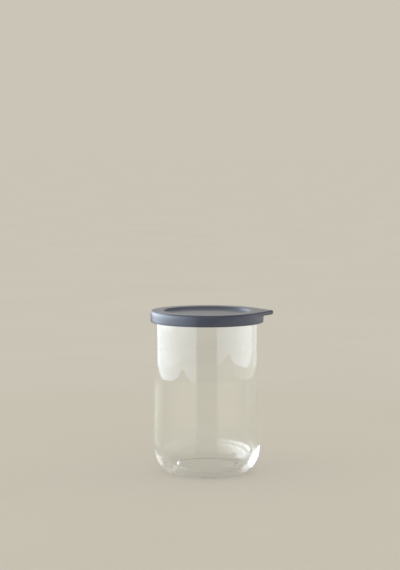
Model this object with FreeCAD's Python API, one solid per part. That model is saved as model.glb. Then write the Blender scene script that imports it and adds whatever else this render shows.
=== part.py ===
"""Lidded glass canister: a straight glass jar, a moulded push-on lid with a dished top and a pull tab,
and the silicone seal ring that sits in a groove round the lid's plug.

Frame: millimetres, +Z up. The origin is on the jar's axis, on the surface that the jar stands on.
The pull tab points along +X.
"""
import FreeCAD
import Part
import math
import os

# Glass jar
JAR_DIAMETER = 102.0
JAR_HEIGHT = 154.0
JAR_WALL = 2.6
BASE_THICKNESS = 4.2
HEEL_WIDTH = 18.3          # how far the rounded heel reaches in from the side
HEEL_HEIGHT = 26.0         # how far it reaches up from the foot
FLOOR_BLEND_WIDTH = 19.0   # the same two sizes inside; the heel is a little thicker
FLOOR_BLEND_HEIGHT = 23.0
RIM_ROUND = 1.1            # fire-polished edges of the mouth
FOOT_RING_WIDTH = 2.4      # flat ring that the jar stands on
FOOT_RECESS = 0.6          # the middle of the base is pushed up by this
FOOT_SLOPE_WIDTH = 2.0     # run of the slope from the ring up to the recess
FOOT_ROUND = 2.0

# Lid
SKIRT_CLEARANCE = 0.5      # between the skirt and the outside of the jar
SKIRT_WALL = 3.0
SKIRT_DEPTH = 11.0         # from the top of the lid
SKIRT_DRAFT = 0.4          # the skirt is narrower by this at its lower edge
SKIRT_EDGE_ROUND = 0.5
PLATE_THICKNESS = 2.5      # plate that lies over the jar's rim
SEAT_GAP = 0.1             # between that plate and the rim
LID_EDGE_ROUND = 1.6
RING_WIDTH = 12.6          # flat ring between the dish and the lid's edge
DISH_DEPTH = 3.0
DISH_WALL_ANGLE = 45.0     # degrees from level
DISH_FLOOR_BLEND = 6.0
DISH_EDGE_ROUND = 1.2
DISH_THICKNESS = 2.0
PLUG_GAP = 1.6             # between the plug and the inside of the jar
PLUG_WALL = 2.0
PLUG_DEPTH = 7.2           # below the plate
PLUG_EDGE_ROUND = 0.4
INNER_FILLET = 0.6

# Pull tab
TAB_REACH = 9.1            # beyond the lid's edge
TAB_TIP_RADIUS = 5.3
TAB_THICKNESS = 4.0
TAB_UNDER_ROUND = 1.6

# Grip ribs across the tab
RIB_COUNT = 5
RIB_PITCH = 2.0
RIB_LENGTH = 6.0
RIB_WIDTH = 0.9
RIB_RISE = 0.35
RIB_TIP_MARGIN = 9.3       # from the end of the tab to the middle of the first rib

# Seal ring
GROOVE_DEPTH = 1.0
GROOVE_HEIGHT = 4.0
GROOVE_LIP = 1.4           # height of the plug's wall under the groove
SEAL_FIT = 0.05            # clearance of the ring in its groove
SEAL_GLASS_GAP = 0.15      # between the lips and the glass
SEAL_BODY_PROUD = 0.3      # the ring's body stands out of the groove by this
SEAL_LIP_THICKNESS = 0.9
SEAL_LIP_RISE = 0.5        # the lips sweep up towards the glass
SEAL_ROUND = 0.2

# Radii and levels that follow from the sizes above
jar_radius = JAR_DIAMETER / 2
bore_radius = jar_radius - JAR_WALL
foot_radius = jar_radius - HEEL_WIDTH

skirt_inner_radius = jar_radius + SKIRT_CLEARANCE
lid_radius = skirt_inner_radius + SKIRT_WALL
plate_under = JAR_HEIGHT + SEAT_GAP
lid_top = plate_under + PLATE_THICKNESS
skirt_bottom = lid_top - SKIRT_DEPTH
tab_under = lid_top - TAB_THICKNESS

dish_radius = lid_radius - RING_WIDTH
dish_floor = lid_top - DISH_DEPTH
dish_angle = math.radians(DISH_WALL_ANGLE)
dish_floor_radius = dish_radius - DISH_DEPTH / math.tan(dish_angle)

plug_radius = bore_radius - PLUG_GAP
plug_inner_radius = plug_radius - PLUG_WALL
plug_bottom = plate_under - PLUG_DEPTH
groove_radius = plug_radius - GROOVE_DEPTH
groove_bottom = plug_bottom + GROOVE_LIP
groove_top = groove_bottom + GROOVE_HEIGHT

ORIGIN = FreeCAD.Vector(0, 0, 0)
UP = FreeCAD.Vector(0, 0, 1)
SMALLEST = 1e-6            # a straight run shorter than this is left out


def at(radius, height):
    """Point of a turned profile. Profiles lie behind the axis, so that seams are opposite the tab."""
    return FreeCAD.Vector(-radius, 0, height)


def line(start, end):
    return Part.LineSegment(start, end).toShape()


def rounded_path(corners):
    """Edges of an open path through (radius, height, rounding) corners, each rounded by a tangent arc.

    Where two roundings are too large for the straight run between them, both give way by the same share.
    """
    points = [at(radius, height) for radius, height, _ in corners]
    last = len(points) - 1
    runs = [points[i + 1] - points[i] for i in range(last)]
    halves = [0] + [(-runs[i - 1]).getAngle(runs[i]) / 2 for i in range(1, last)]
    trims = [0] + [corners[i][2] / math.tan(halves[i]) for i in range(1, last)] + [0]
    shares = [min(1, runs[i].Length / max(trims[i] + trims[i + 1], SMALLEST)) for i in range(last)]
    edges = []
    start = points[0]
    for i in range(1, last):
        share = min(shares[i - 1], shares[i])
        before = points[i] - runs[i - 1] * (trims[i] * share / runs[i - 1].Length)
        after = points[i] + runs[i] * (trims[i] * share / runs[i].Length)
        if (before - start).Length > SMALLEST:
            edges.append(line(start, before))
        if trims[i] > 0:
            radius = corners[i][2] * share
            inward = (before + after - points[i] * 2).normalize()
            middle = points[i] + inward * (radius / math.sin(halves[i]) - radius)
            edges.append(Part.Arc(before, middle, after).toShape())
        start = after
    edges.append(line(start, points[last]))
    return edges


def quarter_ellipse(radius, top, width, height):
    """Edge from the upright tangent at (radius, top), down and in to the level tangent under it."""
    centre = at(radius - width, top)
    side = at(radius, top)
    foot = at(radius - width, top - height)
    long_end, short_end = (side, foot) if width > height else (foot, side)
    curve = Part.Ellipse(long_end, short_end, centre)
    return Part.ArcOfEllipse(curve, 0, math.pi / 2).toShape()


def turned(edges):
    """Solid of revolution about the jar's axis from the edges of a closed profile."""
    profile = Part.Wire(Part.__sortEdges__(edges))
    return Part.Face(profile).revolve(ORIGIN, UP, 360)


def glass_jar():
    """Straight jar: pushed-up base in a foot ring, soft heel, round rim."""
    ring_inner = foot_radius - FOOT_RING_WIDTH
    recess_radius = ring_inner - FOOT_SLOPE_WIDTH
    floor_radius = bore_radius - FLOOR_BLEND_WIDTH
    inner_heel_top = BASE_THICKNESS + FLOOR_BLEND_HEIGHT
    base = rounded_path([
        (floor_radius, BASE_THICKNESS, 0),
        (0, BASE_THICKNESS, 0),
        (0, FOOT_RECESS, 0),
        (recess_radius, FOOT_RECESS, FOOT_ROUND),
        (ring_inner, 0, FOOT_ROUND),
        (foot_radius, 0, 0),
    ])
    side = rounded_path([
        (jar_radius, HEEL_HEIGHT, 0),
        (jar_radius, JAR_HEIGHT, RIM_ROUND),
        (bore_radius, JAR_HEIGHT, RIM_ROUND),
        (bore_radius, inner_heel_top, 0),
    ])
    heel = quarter_ellipse(jar_radius, HEEL_HEIGHT, HEEL_WIDTH, HEEL_HEIGHT)
    inner_heel = quarter_ellipse(bore_radius, inner_heel_top, FLOOR_BLEND_WIDTH, FLOOR_BLEND_HEIGHT)
    return turned(base + [heel] + side + [inner_heel])


def lid_round():
    """The lid without its tab: dish, flat ring, skirt outside the jar's rim, grooved plug inside it."""
    under = dish_floor - DISH_THICKNESS
    under_radius = dish_floor_radius + DISH_THICKNESS * math.tan(dish_angle / 2)
    pocket_radius = under_radius + (plate_under - under) / math.tan(dish_angle)
    return turned(rounded_path([
        (0, under, 0),
        (0, dish_floor, 0),
        (dish_floor_radius, dish_floor, DISH_FLOOR_BLEND),
        (dish_radius, lid_top, DISH_EDGE_ROUND),
        (lid_radius, lid_top, 0),
        (lid_radius, tab_under, 0),
        (lid_radius - SKIRT_DRAFT, skirt_bottom, SKIRT_EDGE_ROUND),
        (skirt_inner_radius, skirt_bottom, SKIRT_EDGE_ROUND),
        (skirt_inner_radius, plate_under, INNER_FILLET),
        (plug_radius, plate_under, INNER_FILLET),
        (plug_radius, groove_top, 0),
        (groove_radius, groove_top, 0),
        (groove_radius, groove_bottom, 0),
        (plug_radius, groove_bottom, 0),
        (plug_radius, plug_bottom, PLUG_EDGE_ROUND),
        (plug_inner_radius, plug_bottom, PLUG_EDGE_ROUND),
        (plug_inner_radius, plate_under, INNER_FILLET),
        (pocket_radius, plate_under, INNER_FILLET),
        (under_radius, under, DISH_FLOOR_BLEND),
        (0, under, 0),
    ]))


def outer_edges(shape):
    """Level edges on the outline of the lid and its tab."""
    def middle(edge):
        return edge.valueAt((edge.FirstParameter + edge.LastParameter) / 2)

    level = [edge for edge in shape.Edges if edge.BoundBox.ZLength < SEAT_GAP]
    return [edge for edge in level if math.hypot(middle(edge).x, middle(edge).y) > lid_radius - SEAT_GAP]


def pull_tab():
    """Teardrop tongue: straight sides that leave the lid's edge as tangents and meet a round tip."""
    tip_centre = lid_radius + TAB_REACH - TAB_TIP_RADIUS
    angle = math.acos((lid_radius - TAB_TIP_RADIUS) / tip_centre)
    root_radius = lid_radius - SKIRT_WALL / 2

    def point(centre, radius, turn):
        return FreeCAD.Vector(centre + radius * math.cos(turn), radius * math.sin(turn), tab_under)

    sides = []
    for turn in (-angle, angle):
        edge = point(0, lid_radius, turn)
        sides.append(line(point(0, root_radius, turn), edge))
        sides.append(line(edge, point(tip_centre, TAB_TIP_RADIUS, turn)))
    root = Part.Arc(*(point(0, root_radius, turn) for turn in (-angle, 0, angle)))
    tip = Part.Arc(*(point(tip_centre, TAB_TIP_RADIUS, turn) for turn in (-angle, 0, angle)))
    outline = Part.Wire(Part.__sortEdges__(sides + [root.toShape(), tip.toShape()]))
    tab = Part.Face(outline).extrude(UP * TAB_THICKNESS)
    under_edges = [edge for edge in outer_edges(tab) if edge.BoundBox.ZMax < tab_under + SEAT_GAP]
    return tab.makeFillet(TAB_UNDER_ROUND, under_edges)


def grip_rib(distance):
    """Low bar with domed ends across the tab, at a distance from the axis."""
    radius = (RIB_WIDTH ** 2 / 4 + RIB_RISE ** 2) / (2 * RIB_RISE)
    height = lid_top + RIB_RISE - radius
    reach = RIB_LENGTH / 2 - radius
    start = FreeCAD.Vector(distance, -reach, height)
    end = FreeCAD.Vector(distance, reach, height)
    bar = Part.makeCylinder(radius, 2 * reach, start, end - start)
    return bar.multiFuse([Part.makeSphere(radius, start), Part.makeSphere(radius, end)])


def lid():
    """Lid, tab and grip ribs, moulded as one piece."""
    body = lid_round().fuse(pull_tab()).removeSplitter().Solids[0]
    top_edges = [edge for edge in outer_edges(body) if edge.BoundBox.ZMin > lid_top - SEAT_GAP]
    body = body.makeFillet(LID_EDGE_ROUND, top_edges)
    first_rib = lid_radius + TAB_REACH - RIB_TIP_MARGIN
    ribs = [grip_rib(first_rib - i * RIB_PITCH) for i in range(RIB_COUNT)]
    return body.multiFuse(ribs).Solids[0]


def seal_ring():
    """Ring with a square body for the groove and two lips that wipe the inside of the jar."""
    inner = groove_radius + SEAL_FIT
    body = plug_radius + SEAL_BODY_PROUD
    lip = bore_radius - SEAL_GLASS_GAP
    low = groove_bottom + SEAL_FIT
    high = groove_top - SEAL_FIT
    upper = high - SEAL_LIP_RISE - SEAL_LIP_THICKNESS
    return turned(rounded_path([
        (inner, low, 0),
        (body, low, 0),
        (lip, low + SEAL_LIP_RISE, SEAL_ROUND),
        (lip, low + SEAL_LIP_RISE + SEAL_LIP_THICKNESS, SEAL_ROUND),
        (body, low + SEAL_LIP_THICKNESS, SEAL_ROUND),
        (body, upper, SEAL_ROUND),
        (lip, upper + SEAL_LIP_RISE, SEAL_ROUND),
        (lip, high, SEAL_ROUND),
        (body, high - SEAL_LIP_RISE, 0),
        (plug_radius, high, 0),
        (inner, high, 0),
        (inner, low, 0),
    ]))


os.makedirs("parts", exist_ok=True)
for make in (glass_jar, lid, seal_ring):
    shape = make()
    shape.exportStep(f"parts/{make.__name__}.step")
    print(f"{make.__name__}: {len(shape.Solids)} solid, valid {shape.isValid()}, "
          f"{shape.Volume / 1000:.2f} cm3, {len(shape.Faces)} faces")
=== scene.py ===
# %% [markdown]
# # A lidded glass canister
#
# A straight glass jar with a push-on lid of slate-grey plastic. The lid has a dished top and a teardrop tab
# to pull it off by, and a silicone ring round its plug seals the jar.
#
# The CAD model is loaded first, and every piece here lies exactly where its solid lies. The solids come
# in as loose triangles, which is fine for the simulation, but glass bends light by the slope of its
# surface, so each piece is drawn again as a smooth surface from the same few sizes.

# %% Load the frame
import math

import bmesh
import bpy
import numpy as np

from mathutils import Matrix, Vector


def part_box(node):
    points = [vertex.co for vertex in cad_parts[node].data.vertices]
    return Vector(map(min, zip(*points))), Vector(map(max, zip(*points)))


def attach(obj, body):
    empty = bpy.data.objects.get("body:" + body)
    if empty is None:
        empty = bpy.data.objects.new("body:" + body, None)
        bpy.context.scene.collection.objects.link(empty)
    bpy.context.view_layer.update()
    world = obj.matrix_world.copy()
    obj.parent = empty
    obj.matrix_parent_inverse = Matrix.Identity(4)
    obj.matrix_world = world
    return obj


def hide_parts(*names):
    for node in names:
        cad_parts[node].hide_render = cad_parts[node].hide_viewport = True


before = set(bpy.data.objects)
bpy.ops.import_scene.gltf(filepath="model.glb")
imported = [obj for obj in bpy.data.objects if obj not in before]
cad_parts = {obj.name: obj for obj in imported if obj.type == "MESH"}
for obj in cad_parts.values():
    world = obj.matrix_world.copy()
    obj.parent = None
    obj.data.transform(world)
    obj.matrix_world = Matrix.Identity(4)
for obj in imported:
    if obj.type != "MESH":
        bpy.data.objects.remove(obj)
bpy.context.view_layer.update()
MM = 0.001

# %% [markdown]
# ## Sizes
#
# What the CAD box of a node can tell is measured: the jar's radius and height, the lid's top and how far
# its tab reaches. The highest points of the lid are its grip ribs, so their rise comes off its top. The
# other sizes are those of the CAD model, in millimetres made metres, each in the cell that needs it first.

# %% Sizes
jar_low, jar_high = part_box("glass_jar")
lid_low, lid_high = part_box("lid")
jar_radius = (jar_high.y - jar_low.y) / 2
jar_height = jar_high.z
lid_radius = -lid_low.x
tab_tip = lid_high.x
lid_bottom = lid_low.z
RIB_RISE = 0.35 * MM
lid_top = lid_high.z - RIB_RISE
print(f"jar {2000 * jar_radius:.1f} mm wide, {1000 * jar_height:.1f} high; "
      f"lid top at {1000 * lid_top:.1f}, tab tip at {1000 * tab_tip:.1f}")

# %% [markdown]
# ## From a grid of points to a mesh
#
# Every surface here is a grid: rows run along a profile, columns run round the axis. The faces of a grid
# are known without looking at its points, so whole arrays do the work: each face joins a point, its
# neighbour in the row, and the two points below them. Where a row shrinks to one point, as at the middle
# of the jar's base, its doubles are merged, and the quads there become triangles. A closed skin whose
# faces look outwards holds a positive volume, so one that comes out negative is turned inside out.

# %% Grid helper
MERGE = 0.5e-6


def grid_piece(name, points, closed_rows=False):
    """Mesh object from points[row, column, xyz]. Columns always close; rows close if asked."""
    rows, columns = points.shape[:2]
    index = np.arange(rows * columns).reshape(rows, columns)
    below = np.roll(index, -1, axis=0)
    upper, lower = (index, below) if closed_rows else (index[:-1], below[:-1])
    quads = np.stack([upper, lower, np.roll(lower, -1, axis=1), np.roll(upper, -1, axis=1)], axis=-1)
    mesh = bpy.data.meshes.new(name)
    mesh.from_pydata(points.reshape(-1, 3), [], quads.reshape(-1, 4))
    shape = bmesh.new()
    shape.from_mesh(mesh)
    bmesh.ops.remove_doubles(shape, verts=shape.verts, dist=MERGE)
    if shape.calc_volume(signed=True) < 0:
        bmesh.ops.reverse_faces(shape, faces=shape.faces)
    shape.to_mesh(mesh)
    shape.free()
    mesh.shade_smooth()
    piece = bpy.data.objects.new(name, mesh)
    bpy.context.scene.collection.objects.link(piece)
    print(f"{name}: {len(mesh.vertices)} points, {len(mesh.polygons)} faces")
    return piece


def turn(profile, columns):
    """Carries a profile of (radius, height) points round the Z axis: x = r cos a, y = r sin a, z = h."""
    angle = np.linspace(0, 2 * np.pi, columns, endpoint=False)
    radius, height = profile[:, :1], profile[:, 1:]
    return np.stack([radius * np.cos(angle), radius * np.sin(angle),
                     np.broadcast_to(height, (len(profile), columns))], axis=-1)

# %% [markdown]
# ## Profiles with rounded corners
#
# A maker draws a turned part as a few corners, each with its rounding. The rounding is an arc that
# touches both sides of the corner. Long straight runs get extra points, so that the shading of an edge
# doesn't spread along a whole wall.

# %% Profile helpers
ARC_STEPS = 8
LONGEST_RUN = 2.5 * MM


def filled(path):
    """Adds points on every run of a path that is longer than LONGEST_RUN: run number + step / steps."""
    lengths = np.linalg.norm(np.diff(path, axis=0), axis=1)
    steps = np.maximum(1, np.ceil(lengths / LONGEST_RUN)).astype(int)
    run = np.repeat(np.arange(len(steps)), steps)
    step_in_run = np.arange(steps.sum()) - np.repeat(np.cumsum(steps) - steps, steps)
    place = np.append(run + step_in_run / np.repeat(steps, steps), len(steps))
    return np.stack([np.interp(place, np.arange(len(path)), path[:, k]) for k in (0, 1)], axis=1)


def rounded(corners):
    """Path through (radius, height, rounding) corners. A corner whose sides meet at angle 2h is replaced
    by an arc that starts rounding / tan(h) before it and whose centre is rounding / sin(h) from it."""
    corners = np.array(corners, float)
    points, rounding = corners[:, :2], corners[:, 2]
    path = [points[:1]]
    for before, corner, after, radius in zip(points[:-2], points[1:-1], points[2:], rounding[1:-1]):
        back = (before - corner) / np.linalg.norm(before - corner)
        ahead = (after - corner) / np.linalg.norm(after - corner)
        half = math.acos(np.clip(back @ ahead, -1, 1)) / 2
        inward = (back + ahead) / np.linalg.norm(back + ahead)
        across = (ahead - back) / np.linalg.norm(ahead - back)
        turn_by = np.linspace(-1, 1, ARC_STEPS + 1)[:, None] * (math.pi / 2 - half)
        arc = corner + inward * radius / math.sin(half)
        arc = arc + radius * (across * np.sin(turn_by) - inward * np.cos(turn_by))
        path.append(arc if radius > 0 else corner[None])
    return np.concatenate(path + [points[-1:]])


def quarter_ellipse(radius, top, width, height, steps=32):
    """From the upright tangent at (radius, top) down to the level tangent: r = radius - width (1 - cos t),
    z = top - height sin t, for t from 0 to a right angle."""
    t = np.linspace(0, np.pi / 2, steps + 1)
    return np.stack([radius - width * (1 - np.cos(t)), top - height * np.sin(t)], axis=1)

# %% [markdown]
# ## The glass jar
#
# The jar is one closed skin of glass: up the outside, over the fire-polished rim, down the inside. Light
# bends where it enters and where it leaves, so the inside has to be there too: a single skin would look
# like a solid glass block. The heel is a quarter of an ellipse, taller than wide, outside and inside, so
# the wall keeps nearly its thickness round the bend. Light that gets in between the two faces there runs
# on from face to face, and comes out as bright and dark crescents above the foot.

# %% Jar sizes
JAR_WALL = 2.6 * MM
BASE_THICKNESS = 4.2 * MM
HEEL_WIDTH, HEEL_HEIGHT = 18.3 * MM, 26.0 * MM
FLOOR_BLEND_WIDTH, FLOOR_BLEND_HEIGHT = 19.0 * MM, 23.0 * MM
RIM_ROUND = 1.1 * MM
FOOT_RING_WIDTH, FOOT_SLOPE_WIDTH = 2.4 * MM, 2.0 * MM
FOOT_RECESS, FOOT_ROUND = 0.6 * MM, 2.0 * MM
bore_radius = jar_radius - JAR_WALL
foot_radius = jar_radius - HEEL_WIDTH
ring_inner = foot_radius - FOOT_RING_WIDTH
inner_heel_top = BASE_THICKNESS + FLOOR_BLEND_HEIGHT
print(f"bore {2000 * bore_radius:.1f} mm wide, foot ring {2000 * foot_radius:.1f} mm wide")

# %% Jar surface
JAR_COLUMNS = 192
underside = rounded([
    (0, FOOT_RECESS, 0),
    (ring_inner - FOOT_SLOPE_WIDTH, FOOT_RECESS, FOOT_ROUND),
    (ring_inner, 0, FOOT_ROUND),
    (foot_radius, 0, 0),
])
outer_heel = quarter_ellipse(jar_radius, HEEL_HEIGHT, HEEL_WIDTH, HEEL_HEIGHT)[::-1]
side = rounded([
    (jar_radius, HEEL_HEIGHT, 0),
    (jar_radius, jar_height, RIM_ROUND),
    (bore_radius, jar_height, RIM_ROUND),
    (bore_radius, inner_heel_top, 0),
])
inner_heel = quarter_ellipse(bore_radius, inner_heel_top, FLOOR_BLEND_WIDTH, FLOOR_BLEND_HEIGHT)
middle = np.array([[0, BASE_THICKNESS]])
jar_profile = filled(np.concatenate([underside[:-1], outer_heel[:-1], side[:-1], inner_heel, middle]))
jar = grid_piece("glass_jar_shell", turn(jar_profile, JAR_COLUMNS))

# %% [markdown]
# ## The lid
#
# The lid is turned too, apart from its tab. Seen from above its outline is a teardrop: a circle, two
# straight lines that leave it as tangents, and a small round tip. One formula gives the outline's radius
# at every angle, and the rows of the grid that belong to the plate's edge follow it, while the rows of
# the dish, the skirt and the plug stay round. Away from the tab the rows of the tab's underside shrink
# to nothing and are merged.

# %% Lid outline
TAB_TIP_RADIUS = 5.3 * MM
TAB_THICKNESS = 4.0 * MM
CIRCLE_COLUMNS, LINE_COLUMNS, TIP_COLUMNS = 160, 24, 24
tip_centre = tab_tip - TAB_TIP_RADIUS
tangent_angle = math.acos((lid_radius - TAB_TIP_RADIUS) / tip_centre)


def teardrop(angle):
    """Radius of the outline: the circle, the tangent line lid_radius / cos(angle - tangent angle), or the
    far side of the tip circle, tip_centre cos a + sqrt(tip_radius^2 - (tip_centre sin a)^2)."""
    turned_by = np.abs(angle)
    tip_end = math.atan2(TAB_TIP_RADIUS * math.sin(tangent_angle),
                         tip_centre + TAB_TIP_RADIUS * math.cos(tangent_angle))
    straight = lid_radius / np.cos(turned_by - tangent_angle)
    under_root = np.maximum(0, TAB_TIP_RADIUS ** 2 - (tip_centre * np.sin(turned_by)) ** 2)
    tip = tip_centre * np.cos(turned_by) + np.sqrt(under_root)
    return np.where(turned_by >= tangent_angle, lid_radius, np.where(turned_by >= tip_end, straight, tip))


tip_turn = np.linspace(0, tangent_angle, TIP_COLUMNS // 2 + 1)
tip_angle = np.arctan2(TAB_TIP_RADIUS * np.sin(tip_turn), tip_centre + TAB_TIP_RADIUS * np.cos(tip_turn))
half_angles = np.concatenate([
    tip_angle[:-1],
    np.linspace(tip_angle[-1], tangent_angle, LINE_COLUMNS, endpoint=False),
    np.linspace(tangent_angle, np.pi, CIRCLE_COLUMNS // 2 + 1),
])
lid_angle = np.concatenate([half_angles, -half_angles[-2:0:-1]])
outline = teardrop(lid_angle)
print(f"outline: {len(lid_angle)} columns, widest {1000 * outline.max():.1f} mm at the tip")

# %% [markdown]
# ## Rows of the lid
#
# A row of the lid's grid is one radius and one height for every angle. Most rows are the same all the way
# round, and a path of points is enough for them. The rows of the edge are worked out from the outline.

# %% Row helpers


def ring(radius, height):
    """Rows of the grid from radii and heights that may change with the angle, as (row, column) arrays."""
    shape = np.broadcast_shapes(np.shape(radius), np.shape(height), (1, len(lid_angle)))
    return np.stack([np.broadcast_to(radius, shape), np.broadcast_to(height, shape)], axis=-1)


def round_rows(path):
    """Rows that are the same all the way round."""
    path = filled(path)
    return ring(path[:, :1], path[:, 1:])


def share(steps):
    """Column of even shares from 0 to 1, one for each row: row number / steps."""
    return np.linspace(0, 1, steps + 1)[:, None]

# %% [markdown]
# ## Top of the lid
#
# A flat ring runs round a shallow dish, in which another jar can stand. The dish's wall slopes, because a
# mould has to let go of it, and meets the floor in a wide curve. One path from the middle outwards draws
# the dish, and from there straight rows run on to the edge.

# %% Dish
RING_WIDTH = 12.6 * MM
DISH_DEPTH, DISH_WALL_ANGLE = 3.0 * MM, math.radians(45)
DISH_FLOOR_BLEND, DISH_EDGE_ROUND = 6.0 * MM, 1.2 * MM
dish_radius = lid_radius - RING_WIDTH
dish_floor = lid_top - DISH_DEPTH
dish_floor_radius = dish_radius - DISH_DEPTH / math.tan(DISH_WALL_ANGLE)
dish = rounded([
    (0, dish_floor, 0),
    (dish_floor_radius, dish_floor, DISH_FLOOR_BLEND),
    (dish_radius, lid_top, DISH_EDGE_ROUND),
    (lid_radius, lid_top, 0),
])[:-1]
print(f"dish {2000 * dish_radius:.1f} mm wide at the top, {2000 * dish_floor_radius:.1f} at the floor")

# %% [markdown]
# ## Edge and tab
#
# The edge is a quarter circle on top and, under the tab, a second one that turns back inwards. How far the
# second one turns depends on how far the outline stands out from the circle, so it opens slowly where the
# tab leaves the lid. Radius and height of each row are r = outline - R (1 - sin t), z = top - R (1 - cos t)
# on top, and r = outline - R (1 - cos t), z = underside + R (1 - sin t) below.

# %% Edge and tab rows
LID_EDGE_ROUND, TAB_UNDER_ROUND = 1.6 * MM, 1.6 * MM
RING_STEPS, TAB_STEPS = 8, 4
tab_under = lid_top - TAB_THICKNESS
edge_start = outline - LID_EDGE_ROUND
edge_turn = share(ARC_STEPS) * np.pi / 2
under_turn = share(ARC_STEPS) * np.arccos(1 - np.minimum((outline - lid_radius) / TAB_UNDER_ROUND, 1))
under_radii = outline - TAB_UNDER_ROUND * (1 - np.cos(under_turn))
under_heights = tab_under + TAB_UNDER_ROUND * (1 - np.sin(under_turn))
edge_rows = np.concatenate([
    ring(dish[-1, 0] + share(RING_STEPS)[1:-1] * (edge_start - dish[-1, 0]), lid_top),
    ring(outline - LID_EDGE_ROUND * (1 - np.sin(edge_turn)),
         lid_top - LID_EDGE_ROUND * (1 - np.cos(edge_turn))),
    ring(under_radii, under_heights),
    ring(under_radii[-1] + share(TAB_STEPS)[1:] * (lid_radius - under_radii[-1]), under_heights[-1]),
])
print(f"edge and tab: {len(edge_rows)} rows")

# %% [markdown]
# ## Skirt, plug and underside
#
# The skirt hides the jar's rim, with a little draft so that it leaves the mould. The plug goes into the
# jar and carries the groove of the seal. Moulded walls are kept about alike, so that nothing sinks in as
# the plastic cools, and the middle of the underside follows the dish. All of it is round, so one path from
# the skirt's top inwards draws it.

# %% Underside of the lid
SKIRT_WALL, SKIRT_DRAFT, SKIRT_EDGE_ROUND = 3.0 * MM, 0.4 * MM, 0.5 * MM
PLATE_THICKNESS, DISH_THICKNESS, INNER_FILLET = 2.5 * MM, 2.0 * MM, 0.6 * MM
PLUG_GAP, PLUG_WALL, PLUG_DEPTH, PLUG_EDGE_ROUND = 1.6 * MM, 2.0 * MM, 7.2 * MM, 0.4 * MM
GROOVE_DEPTH, GROOVE_HEIGHT, GROOVE_LIP = 1.0 * MM, 4.0 * MM, 1.4 * MM
plate_under = lid_top - PLATE_THICKNESS
dish_under = dish_floor - DISH_THICKNESS
under_radius = dish_floor_radius + DISH_THICKNESS * math.tan(DISH_WALL_ANGLE / 2)
pocket_radius = under_radius + (plate_under - dish_under) / math.tan(DISH_WALL_ANGLE)
skirt_inner = lid_radius - SKIRT_WALL
plug_radius = bore_radius - PLUG_GAP
plug_bottom = plate_under - PLUG_DEPTH
groove_radius = plug_radius - GROOVE_DEPTH
groove_bottom = plug_bottom + GROOVE_LIP
groove_top = groove_bottom + GROOVE_HEIGHT
inside = rounded([
    (lid_radius, tab_under, 0),
    (lid_radius - SKIRT_DRAFT, lid_bottom, SKIRT_EDGE_ROUND),
    (skirt_inner, lid_bottom, SKIRT_EDGE_ROUND),
    (skirt_inner, plate_under, INNER_FILLET),
    (plug_radius, plate_under, INNER_FILLET),
    (plug_radius, groove_top, 0),
    (groove_radius, groove_top, 0),
    (groove_radius, groove_bottom, 0),
    (plug_radius, groove_bottom, 0),
    (plug_radius, plug_bottom, PLUG_EDGE_ROUND),
    (plug_radius - PLUG_WALL, plug_bottom, PLUG_EDGE_ROUND),
    (plug_radius - PLUG_WALL, plate_under, INNER_FILLET),
    (pocket_radius, plate_under, INNER_FILLET),
    (under_radius, dish_under, DISH_FLOOR_BLEND),
    (0, dish_under, 0),
])
print(f"plug {2000 * plug_radius:.1f} mm wide in a bore of {2000 * bore_radius:.1f}")

# %% Lid surface
SHARP_EDGE = math.radians(50)
lid_rows = np.concatenate([round_rows(dish), edge_rows, round_rows(inside)])
lid_points = np.stack([lid_rows[..., 0] * np.cos(lid_angle), lid_rows[..., 0] * np.sin(lid_angle),
                       lid_rows[..., 1]], axis=-1)
lid = grid_piece("canister_lid", lid_points)
lid.data.set_sharp_from_angle(angle=SHARP_EDGE)

# %% [markdown]
# ## Grip ribs on the tab
#
# A few low ribs across the tab keep a damp finger from slipping. Each is a bar with domed ends, sunk in
# the tab so that only its back shows: a capsule, which is a half circle, a straight run and a half
# circle turned about a line that lies across the tab.

# %% Grip ribs
RIB_COUNT, RIB_PITCH, RIB_TIP_MARGIN = 5, 2.0 * MM, 9.3 * MM
RIB_LENGTH, RIB_WIDTH = 6.0 * MM, 0.9 * MM
rib_radius = (RIB_WIDTH ** 2 / 4 + RIB_RISE ** 2) / (2 * RIB_RISE)
rib_reach = RIB_LENGTH / 2 - rib_radius


def capsule(x, columns=16, dome_rows=6):
    """Bar across the tab at x: radius r sin b and place +-reach - r cos b along Y, for b from 0 to pi."""
    b = np.linspace(0, np.pi, 2 * dome_rows + 1)
    b = np.insert(b, dome_rows, np.pi / 2)[:, None]
    along = np.where(np.arange(len(b))[:, None] <= dome_rows, -rib_reach, rib_reach) - rib_radius * np.cos(b)
    v = np.linspace(0, 2 * np.pi, columns, endpoint=False)
    height = lid_top + RIB_RISE - rib_radius
    return np.stack([x + rib_radius * np.sin(b) * np.cos(v), along + 0 * v,
                     height + rib_radius * np.sin(b) * np.sin(v)], axis=-1)


ribs = [grid_piece(f"tab_rib_{i + 1}", capsule(tab_tip - RIB_TIP_MARGIN - i * RIB_PITCH))
        for i in range(RIB_COUNT)]

# %% [markdown]
# ## The seal ring
#
# The ring sits in the plug's groove, and its two thin lips close the gap to the inside of the jar. The skirt
# hides it until the lid is lifted. Its profile is closed, so the rows of its grid close as well as the
# columns. A torus would be quicker, but has no lips.

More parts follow.
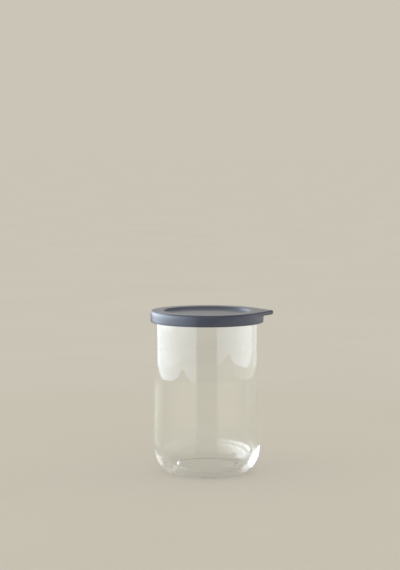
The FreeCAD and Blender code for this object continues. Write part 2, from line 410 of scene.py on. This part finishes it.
# %% Seal ring
SEAL_FIT, SEAL_GLASS_GAP = 0.05 * MM, 0.15 * MM
SEAL_BODY_PROUD, SEAL_ROUND = 0.3 * MM, 0.2 * MM
SEAL_LIP_THICKNESS, SEAL_LIP_RISE = 0.9 * MM, 0.5 * MM
seal_inner = groove_radius + SEAL_FIT
seal_body = plug_radius + SEAL_BODY_PROUD
seal_lip = bore_radius - SEAL_GLASS_GAP
seal_low, seal_high = groove_bottom + SEAL_FIT, groove_top - SEAL_FIT
seal_upper = seal_high - SEAL_LIP_RISE - SEAL_LIP_THICKNESS
seal_profile = rounded([
    (seal_inner, seal_low, 0),
    (seal_body, seal_low, 0),
    (seal_lip, seal_low + SEAL_LIP_RISE, SEAL_ROUND),
    (seal_lip, seal_low + SEAL_LIP_RISE + SEAL_LIP_THICKNESS, SEAL_ROUND),
    (seal_body, seal_low + SEAL_LIP_THICKNESS, SEAL_ROUND),
    (seal_body, seal_upper, SEAL_ROUND),
    (seal_lip, seal_upper + SEAL_LIP_RISE, SEAL_ROUND),
    (seal_lip, seal_high, SEAL_ROUND),
    (seal_body, seal_high - SEAL_LIP_RISE, 0),
    (plug_radius, seal_high, 0),
    (seal_inner, seal_high, 0),
])
seal = grid_piece("seal_ring_lips", turn(seal_profile, JAR_COLUMNS), closed_rows=True)
seal.data.set_sharp_from_angle(angle=SHARP_EDGE)

# %% [markdown]
# ## Colours and nodes
#
# Colours are written as sRGB hex values, as in a paint program, and shaders want linear light, so one
# function turns one into the other. Another adds a node, sets its values and links its inputs.

# %% Colour and node helpers


def colour(code):
    """Linear RGBA of an sRGB hex value: each channel c becomes ((c + 0.055) / 1.055) ^ 2.4."""
    channels = np.array([int(code[i:i + 2], 16) for i in (1, 3, 5)]) / 255
    linear = np.where(channels <= 0.04045, channels / 12.92, ((channels + 0.055) / 1.055) ** 2.4)
    return (*linear.tolist(), 1.0)


def node(tree, kind, links=None, **settings):
    """Adds a node. Settings are named for its properties, or for its inputs with _ for a space."""
    made = tree.nodes.new(kind)
    for name, value in settings.items():
        if hasattr(made, name):
            setattr(made, name, value)
        else:
            made.inputs[name.replace("_", " ")].default_value = value
    for name, source in (links or {}).items():
        tree.links.new(source, made.inputs[name])
    return made


def material(name):
    """Empty material with its node tree, its output and the Object coordinates of the piece."""
    made = bpy.data.materials.new(name)
    made.use_nodes = True
    tree = made.node_tree
    tree.nodes.clear()
    output = node(tree, "ShaderNodeOutputMaterial")
    return made, tree, output, node(tree, "ShaderNodeTexCoord").outputs["Object"]


print(f"mid grey in linear light: {colour('#808080')[0]:.3f}")

# %% [markdown]
# ## Soda-lime glass
#
# The jar is pressed or blown soda-lime glass: clear, very smooth, with a refractive index of 1.52 and a
# trace of green from iron. Its surface isn't perfectly true, so what it mirrors wavers a little. A broad,
# very shallow bump gives that, and the same waves carry the trace of green. Waves in the mesh itself would
# do it too, but would leave the CAD model's faces.

# %% Soda-lime glass
GLASS_INDEX = 1.52
GLASS_GREEN, GLASS_CLEAR = "#FDFEFD", "#FFFFFF"
GLASS_WAVE, GLASS_WAVE_RISE, GLASS_WAVE_STRENGTH = 22 * MM, 0.1 * MM, 0.25
glass, tree, output, place = material("soda_lime_glass")
waves = node(tree, "ShaderNodeTexNoise", {"Vector": place}, Scale=1 / GLASS_WAVE, Detail=1.0, Roughness=0.4)
ripple = node(tree, "ShaderNodeBump", {"Height": waves.outputs["Fac"]},
              Strength=GLASS_WAVE_STRENGTH, Distance=GLASS_WAVE_RISE)
cast = node(tree, "ShaderNodeValToRGB", {"Fac": waves.outputs["Fac"]})
cast.color_ramp.elements[0].color = colour(GLASS_GREEN)
cast.color_ramp.elements[1].color = colour(GLASS_CLEAR)
clear = node(tree, "ShaderNodeBsdfPrincipled",
             {"Base Color": cast.outputs["Color"], "Normal": ripple.outputs["Normal"]},
             Roughness=0.0, IOR=GLASS_INDEX, Transmission_Weight=1.0)
tree.links.new(clear.outputs["BSDF"], output.inputs["Surface"])
print(f"{glass.name}: index {GLASS_INDEX}, waves {GLASS_WAVE / MM:.0f} mm long")

# %% [markdown]
# ## Satin polypropylene
#
# The lid is moulded polypropylene from a finely spark-eroded mould: slate grey, dull where one looks
# straight at it and a soft mirror at a grazing glance. Real grain is about 0.1 mm, too fine to show, so it
# is drawn a few times coarser. Noise in the piece's own coordinates gives it on every face alike, with no
# seams, which a picture wrapped round the lid would have.

# %% Satin polypropylene
SLATE_DARK, SLATE_LIGHT = "#3A4259", "#3E465D"
SATIN_SMOOTH, SATIN_ROUGH, PLASTIC_INDEX = 0.32, 0.37, 1.49
GRAIN, GRAIN_RISE, GRAIN_STRENGTH = 0.5 * MM, 0.03 * MM, 0.25
CLOUD = 14 * MM
plastic, tree, output, place = material("satin_polypropylene")
grain = node(tree, "ShaderNodeTexNoise", {"Vector": place}, Scale=1 / GRAIN, Detail=2.0)
cloud = node(tree, "ShaderNodeTexNoise", {"Vector": place}, Scale=1 / CLOUD, Detail=2.0)
tint = node(tree, "ShaderNodeMix", {"Factor": cloud.outputs["Fac"]}, data_type="RGBA")
for socket, code in zip([s for s in tint.inputs if s.type == "RGBA"], (SLATE_DARK, SLATE_LIGHT)):
    socket.default_value = colour(code)
gloss = node(tree, "ShaderNodeMapRange", {"Value": grain.outputs["Fac"]},
             To_Min=SATIN_SMOOTH, To_Max=SATIN_ROUGH)
bumps = node(tree, "ShaderNodeBump", {"Height": grain.outputs["Fac"]},
             Strength=GRAIN_STRENGTH, Distance=GRAIN_RISE)
shell = node(tree, "ShaderNodeBsdfPrincipled",
             {"Base Color": [s for s in tint.outputs if s.type == "RGBA"][0],
              "Roughness": gloss.outputs["Result"], "Normal": bumps.outputs["Normal"]},
             IOR=PLASTIC_INDEX, Specular_IOR_Level=1.0)
tree.links.new(shell.outputs["BSDF"], output.inputs["Surface"])
print(f"{plastic.name}: grain {GRAIN / MM:.1f} mm, roughness {SATIN_SMOOTH} to {SATIN_ROUGH}")

# %% [markdown]
# ## Silicone
#
# The seal is silicone rubber: milky, soft to the eye, with light that goes a little way in. Subsurface
# scattering lets the light in, and a faint haze keeps the colour from being the same everywhere.

# %% Silicone
MILK_DARK, MILK_LIGHT = "#CFCFCA", "#DEDED9"
HAZE, LIGHT_DEPTH = 4 * MM, 1.5 * MM
SILICONE_ROUGHNESS, SILICONE_INDEX, SILICONE_DEPTH_SHARE = 0.45, 1.41, 0.3
silicone, tree, output, place = material("milky_silicone")
haze = node(tree, "ShaderNodeTexNoise", {"Vector": place}, Scale=1 / HAZE, Detail=2.0)
milk = node(tree, "ShaderNodeValToRGB", {"Fac": haze.outputs["Fac"]})
milk.color_ramp.elements[0].color = colour(MILK_DARK)
milk.color_ramp.elements[1].color = colour(MILK_LIGHT)
rubber = node(tree, "ShaderNodeBsdfPrincipled", {"Base Color": milk.outputs["Color"]},
              Roughness=SILICONE_ROUGHNESS, IOR=SILICONE_INDEX,
              Subsurface_Weight=SILICONE_DEPTH_SHARE, Subsurface_Scale=LIGHT_DEPTH)
tree.links.new(rubber.outputs["BSDF"], output.inputs["Surface"])
print(f"{silicone.name}: light goes {LIGHT_DEPTH / MM:.1f} mm deep")

# %% [markdown]
# ## Dressing the frame
#
# Each piece gets its finish, rides on the CAD body that moves it, and stands for the solid that it
# redraws. The ribs are part of the lid's solid, so they ride on the lid and replace nothing of their own.

# %% Dress
for piece, finish, body, slot in (
    (jar, glass, "jar", "jar_glass"),
    (lid, plastic, "lid", "lid_plastic"),
    (seal, silicone, "seal", "seal_silicone"),
    *((rib, plastic, "lid", "lid_plastic") for rib in ribs),
):
    piece.data.materials.append(finish)
    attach(piece, body)
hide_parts("glass_jar")
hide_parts("lid")
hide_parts("seal_ring")

# %% [markdown]
# ## Helpers for the set
#
# Glass shows what stands around it, so floor and lights are part of its look. They are open sheets of
# points, and they belong to the set, not to the canister. A ray that ends in the eye shows what it meets,
# and a ray that starts from a matt surface only gathers light: the shaders of the set tell them apart.

# %% Set helpers


def stage_sheet(name, points, finish):
    """Open sheet of points[row, column, xyz] that belongs to the set, not to the canister."""
    rows, columns = points.shape[:2]
    index = np.arange(rows * columns).reshape(rows, columns)
    quads = np.stack([index[:-1, :-1], index[:-1, 1:], index[1:, 1:], index[1:, :-1]], axis=-1)
    mesh = bpy.data.meshes.new(name)
    mesh.from_pydata(points.reshape(-1, 3), [], quads.reshape(-1, 4))
    mesh.materials.append(finish)
    piece = bpy.data.objects.new(name, mesh)
    bpy.context.scene.collection.objects.link(piece)
    return piece


def seen_ray(tree):
    """1 for rays from the camera, also by way of shiny or clear surfaces, 0 for rays that gather light:
    the largest of the three ray kinds minus the number of matt bounces, not below 0."""
    path = node(tree, "ShaderNodeLightPath")
    shiny = node(tree, "ShaderNodeMath",
                 {0: path.outputs["Is Glossy Ray"], 1: path.outputs["Is Transmission Ray"]},
                 operation="MAXIMUM")
    seen = node(tree, "ShaderNodeMath", {0: path.outputs["Is Camera Ray"], 1: shiny.outputs[0]},
                operation="MAXIMUM")
    return node(tree, "ShaderNodeMath", {0: seen.outputs[0], 1: path.outputs["Diffuse Depth"]},
                operation="SUBTRACT", use_clamp=True).outputs[0]

# %% [markdown]
# ## Floor
#
# The floor is a wide sheet of pale sand colour with a faint mottle. Near the jar it is matt paint that takes
# light and shadow, mixed with a share of its own glow, so that the shadow stays soft. Further off it only
# glows in its own colour for rays that end in the eye, and floor and world run together without a horizon.
# A bent backdrop would do that too, but it would stand in the way of the other views.

# %% Floor
SAND_LIGHT, SAND_DARK = "#CCC7B9", "#C7C2B4"
SAND_MOTTLE = 0.25
FLOOR_REACH = 30.0
LAMP_LIT, SELF_LIT = 0.35, 1.0
NEAR_GLOW = 0.65
sand, tree, output, place = material("painted_floor")
mottle = node(tree, "ShaderNodeTexNoise", {"Vector": place}, Scale=1 / SAND_MOTTLE, Detail=2.0)
paint = node(tree, "ShaderNodeValToRGB", {"Fac": mottle.outputs["Fac"]})
paint.color_ramp.elements[0].color = colour(SAND_DARK)
paint.color_ramp.elements[1].color = colour(SAND_LIGHT)
matt = node(tree, "ShaderNodeBsdfDiffuse", {"Color": paint.outputs["Color"]})
glow = node(tree, "ShaderNodeEmission", {"Color": paint.outputs["Color"]})
away = node(tree, "ShaderNodeVectorMath", {0: place}, operation="LENGTH")
far = node(tree, "ShaderNodeMapRange", {"Value": away.outputs["Value"]}, interpolation_type="SMOOTHSTEP",
           From_Min=LAMP_LIT, From_Max=SELF_LIT, To_Min=NEAR_GLOW)
share_glow = node(tree, "ShaderNodeMath", {0: far.outputs["Result"], 1: seen_ray(tree)}, operation="MULTIPLY")
either = node(tree, "ShaderNodeMixShader",
              {0: share_glow.outputs[0], 1: matt.outputs["BSDF"], 2: glow.outputs["Emission"]})
tree.links.new(either.outputs["Shader"], output.inputs["Surface"])
edge = np.array([-FLOOR_REACH, FLOOR_REACH])
stage_sheet("floor", np.stack(np.broadcast_arrays(edge[None, :], edge[:, None], 0.0), axis=-1), sand)
print(f"floor {2 * FLOOR_REACH:.0f} m wide, only glowing from {SELF_LIT} m on")

# %% [markdown]
# ## Sheets that show in reflections
#
# Clear glass is seen by what it mirrors, so a photographer puts bright panels and dark cards round it. Here
# they are curved sheets that show only to a ray that was mirrored at least once. To all other rays they are
# clear, so they can stand close by, and none of them is seen straight through the jar or throws a shadow.
# Each point of a sheet has its own brightness, kept in the mesh as an attribute that the shader reads.

# %% Reflected sheet helper


def reflected_sheet(name, tint, angle, radius, height, glow):
    """Sheet round the jar that shows in reflections only: x = r sin a, y = -r cos a, with the angle a counted
    from the camera's side of the jar, positive to the right. glow says how bright each point is."""
    made, tree, output, _ = material(name)
    level = node(tree, "ShaderNodeAttribute", attribute_name="glow")
    shine = node(tree, "ShaderNodeEmission", {"Strength": level.outputs["Fac"]}, Color=colour(tint))
    nothing = node(tree, "ShaderNodeBsdfTransparent")
    path = node(tree, "ShaderNodeLightPath")
    mirrored = node(tree, "ShaderNodeMixShader", {0: path.outputs["Glossy Depth"], 1: nothing.outputs["BSDF"],
                                                  2: shine.outputs["Emission"]})
    tree.links.new(mirrored.outputs["Shader"], output.inputs["Surface"])
    made.cycles.emission_sampling = "NONE"
    arc = np.stack(np.broadcast_arrays(radius * np.sin(angle), -radius * np.cos(angle), height), axis=-1)
    sheet = stage_sheet(name, arc, made)
    levels = sheet.data.attributes.new("glow", "FLOAT", "POINT")
    levels.data.foreach_set("value", np.broadcast_to(glow, arc.shape[:2]).ravel().astype(np.float32))
    print(f"{name}: {np.degrees(angle[0]):.0f} to {np.degrees(angle[-1]):.0f} degrees, "
          f"up to {np.max(glow):.1f} bright")

# %% [markdown]
# ## Light panels
#
# Two panels stand left and right, and the jar mirrors them as two white sheets. The left one is stronger
# and a little bluer, like daylight. The jar's side mirrors the foot of a panel and the lid's side the part
# just above, so these two have strengths of their own. Higher up the panel fades. The lower edge has a hump,
# which notches the sheets, and rises at the back, so they end in round corners. A few listed points
# with straight runs between them set each course, which is easier to tune than a formula.

# %% Course of the panels
PANEL_RADIUS, PANEL_TOP = 0.72, 0.85
PANEL_COLUMNS, PANEL_ROWS = 146, 41
GLOW_ANGLES = np.radians([23, 31, 44, 58, 72, 88, 106, 130, 150, 168])
GLOW_LOW = [0.45, 0.45, 0.55, 0.65, 0.8, 0.95, 1.0, 0.8, 0.6, 0.5]
GLOW_HIGH = [0.35, 0.5, 0.8, 1.1, 1.5, 1.95, 2.25, 2.1, 1.5, 0.9]
GLOW_CHANGE = [0.07, 0.10]
FADE_HEIGHTS, FADE = [0.15, 0.22, 0.6, 0.85], [1, 0.38, 0.38, 0]
EDGE_ANGLES = np.radians([31, 40, 47, 52, 56, 60, 64, 75, 88, 112, 120, 125, 131, 135, 137, 168])
EDGE_RISE = MM * np.array([0, 6, 12, 16, 17, 11, 6, 2, 0, 1, 5, 9, 15, 22, 100, 300])
print(f"panels from {np.degrees(GLOW_ANGLES[0]):.0f} to {np.degrees(GLOW_ANGLES[-1]):.0f} degrees")

# %% Light panels
DAYLIGHT, WARM_WHITE = "#EAF6FF", "#FFFCF6"


def light_panel(name, side, tint, low_strength, high_strength):
    """Bright sheet beside the jar. Its brightness is a course round the jar, which changes from GLOW_LOW to
    GLOW_HIGH with the height, times a fade upwards. Its lower edge follows EDGE_RISE."""
    angle = np.linspace(GLOW_ANGLES[0], GLOW_ANGLES[-1], PANEL_COLUMNS)
    low = np.interp(angle, EDGE_ANGLES, EDGE_RISE)
    height = low + (PANEL_TOP - low) * np.linspace(0, 1, PANEL_ROWS)[:, None]
    upper = np.interp(height, GLOW_CHANGE, [0, 1])
    glow = low_strength * np.interp(angle, GLOW_ANGLES, GLOW_LOW) * (1 - upper)
    glow = glow + high_strength * np.interp(angle, GLOW_ANGLES, GLOW_HIGH) * upper
    glow = glow * np.interp(height, FADE_HEIGHTS, FADE)
    reflected_sheet(name, tint, side * angle, PANEL_RADIUS, height, glow)


light_panel("light_panel_left", -1, DAYLIGHT, low_strength=2.8, high_strength=5.0)
light_panel("light_panel_right", 1, WARM_WHITE, low_strength=1.2, high_strength=0.5)

# %% [markdown]
# ## Dark card and floor gleams
#
# The gap between the two white sheets mirrors the camera's side of the room, which gets less light, so a dark
# card
# stands there between the panels: painted shade, seen only in reflections. The floor in front of the card is
# painted darker in the same way, as shade, and to its sides it has a faint gleam, a painted reflection, as a
# smooth floor has below a light. These sheets lie just above the floor. A shiny floor would gleam by itself,
# but it would mirror the panels in every view.

# %% Dark card and floor gleams
BACKDROP = "#CAC5B7"
CARD_COLUMNS, GLEAM_COLUMNS = 25, 45
CARD_HEIGHTS = np.array([[0.0], [0.045], [0.08], [PANEL_TOP]])
CARD_GLOW = np.array([[0.3], [0.3], [0.85], [0.85]])
CARD_FLOOR_GLOW = 0.75
GLEAM_ANGLES, GLEAM = np.radians([23, 60, 110]), [1.4, 1.4, 1.0]
GLEAM_RADII, GLEAM_LIFT = np.array([[0.15], [PANEL_RADIUS]]), 0.5 * MM
card_angle = np.linspace(-GLOW_ANGLES[0], GLOW_ANGLES[0], CARD_COLUMNS)
gleam_angle = np.linspace(GLEAM_ANGLES[0], GLEAM_ANGLES[-1], GLEAM_COLUMNS)
gleam = np.interp(gleam_angle, GLEAM_ANGLES, GLEAM)
# Painted shade: a dim sheet for the camera's side of the room, seen in reflections only.
reflected_sheet("dark_card", BACKDROP, card_angle, PANEL_RADIUS, CARD_HEIGHTS, CARD_GLOW)
# Painted shade of the floor in front of the card, darker in reflections only.
reflected_sheet("shaded_floor_reflection", BACKDROP, card_angle, GLEAM_RADII, GLEAM_LIFT, CARD_FLOOR_GLOW)
# Painted reflections: a faint gleam of the floor to both sides, seen in reflections only.
reflected_sheet("floor_gleam_left", BACKDROP, -gleam_angle, GLEAM_RADII, GLEAM_LIFT, gleam)
reflected_sheet("floor_gleam_right", BACKDROP, gleam_angle, GLEAM_RADII, GLEAM_LIFT, gleam)

# %% [markdown]
# ## Soft lamp
#
# A weak, wide lamp high behind the jar gives the level faces of the lid a sheen, as bright surroundings
# would. It is an area light, because its size sets how soft the sheen is. It isn't seen by the camera, nor
# through the glass.

# %% Soft lamp
LAMP_ENERGY, LAMP_WIDTH = 0.6, 0.9
LAMP_PLACE = Vector((-0.2, 1.2, 0.62))
light = bpy.data.lights.new("soft_lamp", "AREA")
light.energy = LAMP_ENERGY
light.size = LAMP_WIDTH
lamp = bpy.data.objects.new("soft_lamp", light)
lamp.location = LAMP_PLACE
lamp.rotation_euler = (Vector((0, 0, jar_height)) - LAMP_PLACE).to_track_quat("-Z", "Y").to_euler()
lamp.visible_camera = lamp.visible_transmission = False
bpy.context.scene.collection.objects.link(lamp)
print(f"lamp of {LAMP_ENERGY} W, {LAMP_WIDTH} m wide")

# %% [markdown]
# ## World
#
# The world is an even, warm fill for every ray that gathers light, and has the floor's colour wherever it can
# be seen. Light runs many times from face to face inside the heel before it comes out, so the renderer may
# follow it for many more bounces than usual. With few, the heel would turn black.

# %% World
FILL_STRENGTH = 0.92
MOST_BOUNCES = 96
world = bpy.data.worlds.new("studio")
bpy.context.scene.world = world
world.use_nodes = True
tree = world.node_tree
tree.nodes.clear()
fill = node(tree, "ShaderNodeBackground", Color=colour(WARM_WHITE), Strength=FILL_STRENGTH)
view = node(tree, "ShaderNodeBackground", Color=colour(BACKDROP), Strength=1.0)
either = node(tree, "ShaderNodeMixShader", {0: seen_ray(tree), 1: fill.outputs[0], 2: view.outputs[0]})
node(tree, "ShaderNodeOutputWorld", {"Surface": either.outputs[0]})
cycles = bpy.context.scene.cycles
cycles.max_bounces = cycles.transmission_bounces = cycles.glossy_bounces = MOST_BOUNCES
print(f"world fill {FILL_STRENGTH}, up to {MOST_BOUNCES} bounces")

# %% [markdown]
# ## Camera
#
# The photograph was taken with a long lens from a little above the lid, tilted down. The lens follows
# from its focal length counted in pixels of a picture 570 pixels high, and the camera stands a little to
# the left, so that the jar comes to lie right of the middle. The Standard view shows colours as written.

# %% Camera
PICTURE_HEIGHT_PX = 570
FOCAL_PX = 1800
SENSOR = 36
FAR_CLIP = 50
CAMERA_DISTANCE, CAMERA_HEIGHT = 1.7210, 0.3234
CAMERA_TILT = math.radians(4.734)
AXIS_RIGHT_OF_MIDDLE_PX = 7.1

lens = bpy.data.cameras.new("camera")
lens.sensor_fit = "VERTICAL"
lens.sensor_height = SENSOR
lens.lens = FOCAL_PX * SENSOR / PICTURE_HEIGHT_PX
lens.clip_end = FAR_CLIP
camera = bpy.data.objects.new("camera", lens)
bpy.context.scene.collection.objects.link(camera)
camera.location = (-AXIS_RIGHT_OF_MIDDLE_PX / FOCAL_PX * CAMERA_DISTANCE, -CAMERA_DISTANCE, CAMERA_HEIGHT)
camera.rotation_euler = (math.pi / 2 - CAMERA_TILT, 0, 0)
bpy.context.scene.camera = camera
bpy.context.scene.view_settings.view_transform = "Standard"
print(f"lens {lens.lens:.1f} mm")
